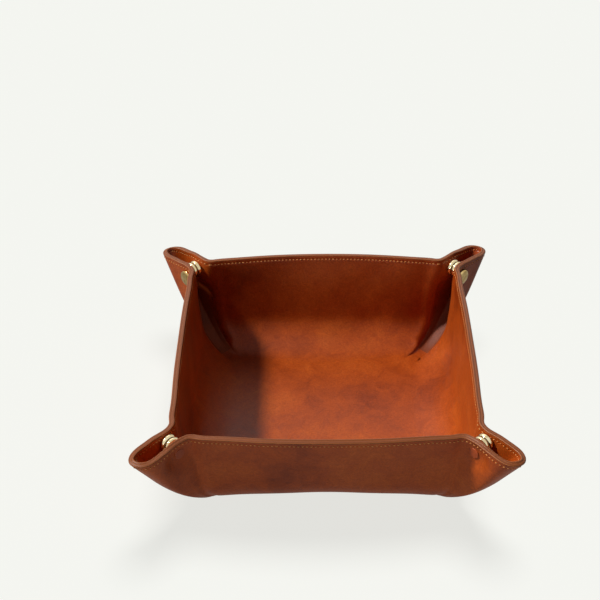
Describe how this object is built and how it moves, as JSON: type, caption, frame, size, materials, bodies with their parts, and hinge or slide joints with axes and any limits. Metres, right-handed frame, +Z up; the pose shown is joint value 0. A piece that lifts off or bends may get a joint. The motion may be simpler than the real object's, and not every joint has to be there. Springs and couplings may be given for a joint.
{
  "type": "valet tray",
  "caption": "Square open tray of two-layer leather with folded walls, corners pinched into ears by brass press studs; opens towards flat when unsnapped.",
  "frame": {"origin": "on the table, under the middle of the base", "axes": "+Z up, +X to the right and -Y to the front of the tray as pictured"},
  "size_m": [0.201, 0.201, 0.0589],
  "materials": {
    "outer_leather": "smooth vegetable-tanned saddle leather, cognac tan, soft sheen",
    "lining_leather": "smooth saddle leather lining, cognac tan, soft sheen, lighter burnished edge",
    "thread": "waxed thread, light orange",
    "brass": "polished",
    "spring_steel": "plain wire"
  },
  "bodies": {
    "base": {"base_outer": "outer_leather", "base_lining": "lining_leather"},
    "front_wall": {"front_wall_outer": "outer_leather", "front_wall_lining": "lining_leather", "front_wall_stitching": "thread"},
    "right_wall": {"right_wall_outer": "outer_leather", "right_wall_lining": "lining_leather", "right_wall_stitching": "thread"},
    "back_wall": {"back_wall_outer": "outer_leather", "back_wall_lining": "lining_leather", "back_wall_stitching": "thread"},
    "left_wall": {"left_wall_outer": "outer_leather", "left_wall_lining": "lining_leather", "left_wall_stitching": "thread"},
    "front_wall_left_ear": {"front_wall_left_ear_outer": "outer_leather", "front_wall_left_ear_lining": "lining_leather", "front_wall_left_ear_stitching": "thread", "front_left_snap_stud": "brass", "front_left_snap_post": "brass"},
    "front_wall_right_ear": {"front_wall_right_ear_outer": "outer_leather", "front_wall_right_ear_lining": "lining_leather", "front_wall_right_ear_stitching": "thread", "front_right_snap_stud": "brass", "front_right_snap_post": "brass"},
    "right_wall_front_ear": {"right_wall_front_ear_outer": "outer_leather", "right_wall_front_ear_lining": "lining_leather", "right_wall_front_ear_stitching": "thread", "front_right_snap_cap": "brass", "front_right_snap_socket": "brass", "front_right_snap_spring": "spring_steel"},
    "right_wall_back_ear": {"right_wall_back_ear_outer": "outer_leather", "right_wall_back_ear_lining": "lining_leather", "right_wall_back_ear_stitching": "thread", "back_right_snap_cap": "brass", "back_right_snap_socket": "brass", "back_right_snap_spring": "spring_steel"},
    "back_wall_right_ear": {"back_wall_right_ear_outer": "outer_leather", "back_wall_right_ear_lining": "lining_leather", "back_wall_right_ear_stitching": "thread", "back_right_snap_stud": "brass", "back_right_snap_post": "brass"},
    "back_wall_left_ear": {"back_wall_left_ear_outer": "outer_leather", "back_wall_left_ear_lining": "lining_leather", "back_wall_left_ear_stitching": "thread", "back_left_snap_stud": "brass", "back_left_snap_post": "brass"},
    "left_wall_back_ear": {"left_wall_back_ear_outer": "outer_leather", "left_wall_back_ear_lining": "lining_leather", "left_wall_back_ear_stitching": "thread", "back_left_snap_cap": "brass", "back_left_snap_socket": "brass", "back_left_snap_spring": "spring_steel"},
    "left_wall_front_ear": {"left_wall_front_ear_outer": "outer_leather", "left_wall_front_ear_lining": "lining_leather", "left_wall_front_ear_stitching": "thread", "front_left_snap_cap": "brass", "front_left_snap_socket": "brass", "front_left_snap_spring": "spring_steel"}
  },
  "joints": [
    {"name": "front_wall_fold", "type": "hinge", "parent": "base", "child": "front_wall", "pos_m": [0, -0.06753, 0.00302], "axis": [1, 0, 0], "range_deg": [0, 67]},
    {"name": "right_wall_fold", "type": "hinge", "parent": "base", "child": "right_wall", "pos_m": [0.06753, 0, 0.00302], "axis": [0, 1, 0], "range_deg": [0, 67]},
    {"name": "back_wall_fold", "type": "hinge", "parent": "base", "child": "back_wall", "pos_m": [0, 0.06753, 0.00302], "axis": [-1, 0, 0], "range_deg": [0, 67]},
    {"name": "left_wall_fold", "type": "hinge", "parent": "base", "child": "left_wall", "pos_m": [-0.06753, 0, 0.00302], "axis": [0, -1, 0], "range_deg": [0, 67]},
    {"name": "front_wall_left_ear_fold", "type": "hinge", "parent": "front_wall", "child": "front_wall_left_ear", "pos_m": [-0.06187, -0.06974, 0.00302], "axis": [-0.2591, 0.094, 0.9613], "range_deg": [-37.43, 0]},
    {"name": "front_wall_right_ear_fold", "type": "hinge", "parent": "front_wall", "child": "front_wall_right_ear", "pos_m": [0.06187, -0.06974, 0.00302], "axis": [0.2591, 0.094, 0.9613], "range_deg": [0, 37.43]},
    {"name": "right_wall_front_ear_fold", "type": "hinge", "parent": "right_wall", "child": "right_wall_front_ear", "pos_m": [0.06974, -0.06187, 0.00302], "axis": [-0.094, -0.2591, 0.9613], "range_deg": [-37.43, 0]},
    {"name": "right_wall_back_ear_fold", "type": "hinge", "parent": "right_wall", "child": "right_wall_back_ear", "pos_m": [0.06974, 0.06187, 0.00302], "axis": [-0.094, 0.2591, 0.9613], "range_deg": [0, 37.43]},
    {"name": "back_wall_right_ear_fold", "type": "hinge", "parent": "back_wall", "child": "back_wall_right_ear", "pos_m": [0.06187, 0.06974, 0.00302], "axis": [0.2591, -0.094, 0.9613], "range_deg": [-37.43, 0]},
    {"name": "back_wall_left_ear_fold", "type": "hinge", "parent": "back_wall", "child": "back_wall_left_ear", "pos_m": [-0.06187, 0.06974, 0.00302], "axis": [-0.2591, -0.094, 0.9613], "range_deg": [0, 37.43]},
    {"name": "left_wall_back_ear_fold", "type": "hinge", "parent": "left_wall", "child": "left_wall_back_ear", "pos_m": [-0.06974, 0.06187, 0.00302], "axis": [0.094, 0.2591, 0.9613], "range_deg": [-37.43, 0]},
    {"name": "left_wall_front_ear_fold", "type": "hinge", "parent": "left_wall", "child": "left_wall_front_ear", "pos_m": [-0.06974, -0.06187, 0.00302], "axis": [0.094, -0.2591, 0.9613], "range_deg": [0, 37.43]}
  ],
  "couplings": [
    {"joint": "right_wall_fold", "follows": "front_wall_fold", "ratio": 1},
    {"joint": "back_wall_fold", "follows": "front_wall_fold", "ratio": 1},
    {"joint": "left_wall_fold", "follows": "front_wall_fold", "ratio": 1},
    {"joint": "front_wall_left_ear_fold", "follows": "front_wall_fold", "ratio": -0.55862},
    {"joint": "front_wall_right_ear_fold", "follows": "front_wall_fold", "ratio": 0.55862},
    {"joint": "right_wall_front_ear_fold", "follows": "front_wall_fold", "ratio": -0.55862},
    {"joint": "right_wall_back_ear_fold", "follows": "front_wall_fold", "ratio": 0.55862},
    {"joint": "back_wall_right_ear_fold", "follows": "front_wall_fold", "ratio": -0.55862},
    {"joint": "back_wall_left_ear_fold", "follows": "front_wall_fold", "ratio": 0.55862},
    {"joint": "left_wall_back_ear_fold", "follows": "front_wall_fold", "ratio": -0.55862},
    {"joint": "left_wall_front_ear_fold", "follows": "front_wall_fold", "ratio": 0.55862}
  ]
}
